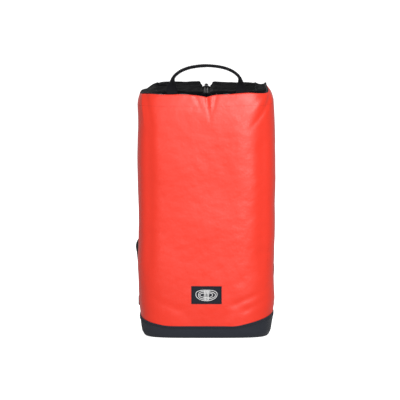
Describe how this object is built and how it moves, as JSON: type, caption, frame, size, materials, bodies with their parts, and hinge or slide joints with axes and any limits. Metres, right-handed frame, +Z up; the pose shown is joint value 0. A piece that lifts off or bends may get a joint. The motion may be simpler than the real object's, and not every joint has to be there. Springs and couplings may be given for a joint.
{
  "type": "rope storage bag",
  "caption": "Upright soft bag that stores and carries a climbing rope, with a zipped lid, folding carry handle, padded back and shoulder straps.",
  "frame": {"origin": "centre of the bag's flat underside", "axes": "+Z up along the bag's height, the front face with the label faces -Y, +X to the right seen from the front"},
  "size_m": [0.287, 0.2394, 0.5612],
  "materials": {
    "coated_fabric_red": "semi-gloss coated tarpaulin",
    "black_nylon": "slightly shiny wrinkled nylon",
    "slate_fabric": "matt heavy weave",
    "label_fabric": "matt woven patch",
    "black_webbing": "ribbed webbing",
    "binding_tape": "ribbed tape",
    "pad_mesh": "open air mesh over foam",
    "zip_tape": "fine woven tape",
    "zip_coil": "satin coil",
    "zip_metal": "satin black",
    "pull_cord": "matt moulded grip",
    "buckle_plastic": "satin moulded",
    "board_plastic": "matt sheet"
  },
  "bodies": {
    "shell": {"front_and_side_wrap": "coated_fabric_red", "back_panel": "black_nylon", "top_panel_left": "black_nylon", "top_panel_right": "black_nylon", "base_boot": "slate_fabric", "label_patch": "label_fabric", "handle_anchor_left": "black_webbing", "handle_anchor_right": "black_webbing", "strap_yoke": "black_webbing", "rope_loop_low": "black_webbing", "rope_loop_high": "black_webbing", "lower_strap_tab_left": "black_webbing", "lower_strap_tab_right": "black_webbing", "lower_webbing_left": "black_webbing", "lower_webbing_right": "black_webbing", "corner_piping_left": "binding_tape", "corner_piping_right": "binding_tape", "top_edge_binding": "binding_tape", "base_seam_tape": "binding_tape", "back_pad": "pad_mesh", "zip_end_tape_front": "zip_tape", "zip_end_tape_back": "zip_tape", "zip_stop_front": "zip_metal", "zip_stop_back": "zip_metal", "base_board": "board_plastic"},
    "zip_edge_left": {"top_flap_left": "black_nylon", "zip_tape_left": "zip_tape", "zip_teeth_left": "zip_coil"},
    "zip_edge_right": {"top_flap_right": "black_nylon", "zip_tape_right": "zip_tape", "zip_teeth_right": "zip_coil"},
    "slider": {"zip_slider": "zip_metal"},
    "pull": {"zip_pull": "zip_metal", "zip_pull_grip": "pull_cord"},
    "handle": {"handle_webbing": "black_webbing"},
    "strap_left": {"shoulder_pad_left": "pad_mesh", "strap_webbing_left": "black_webbing", "ladder_lock_left": "buckle_plastic"},
    "strap_right": {"shoulder_pad_right": "pad_mesh", "strap_webbing_right": "black_webbing", "ladder_lock_right": "buckle_plastic"}
  },
  "joints": [
    {"name": "zip_slide", "type": "slide", "parent": "shell", "child": "slider", "axis": [0, -1, 0], "range_m": [0, 0.1456]},
    {"name": "zip_pull_swing", "type": "hinge", "parent": "slider", "child": "pull", "pos_m": [0, 0.0728, 0.5077], "axis": [1, 0, 0], "range_deg": [0, 165]},
    {"name": "zip_edge_left_open", "type": "slide", "parent": "shell", "child": "zip_edge_left", "axis": [-1, 0, 0], "range_m": [0, 0.046]},
    {"name": "zip_edge_right_open", "type": "slide", "parent": "shell", "child": "zip_edge_right", "axis": [1, 0, 0], "range_m": [0, 0.046]},
    {"name": "handle_fold", "type": "hinge", "parent": "shell", "child": "handle", "pos_m": [0, -0.0881, 0.5054], "axis": [1, 0, 0], "range_deg": [-65, 95]},
    {"name": "strap_left_swing", "type": "hinge", "parent": "shell", "child": "strap_left", "pos_m": [-0.042, 0.1068, 0.452], "axis": [1, 0, 0], "range_deg": [0, 20], "deforming": ["lower_webbing_left"]},
    {"name": "strap_right_swing", "type": "hinge", "parent": "shell", "child": "strap_right", "pos_m": [0.042, 0.1068, 0.452], "axis": [1, 0, 0], "range_deg": [0, 20], "deforming": ["lower_webbing_right"]}
  ]
}
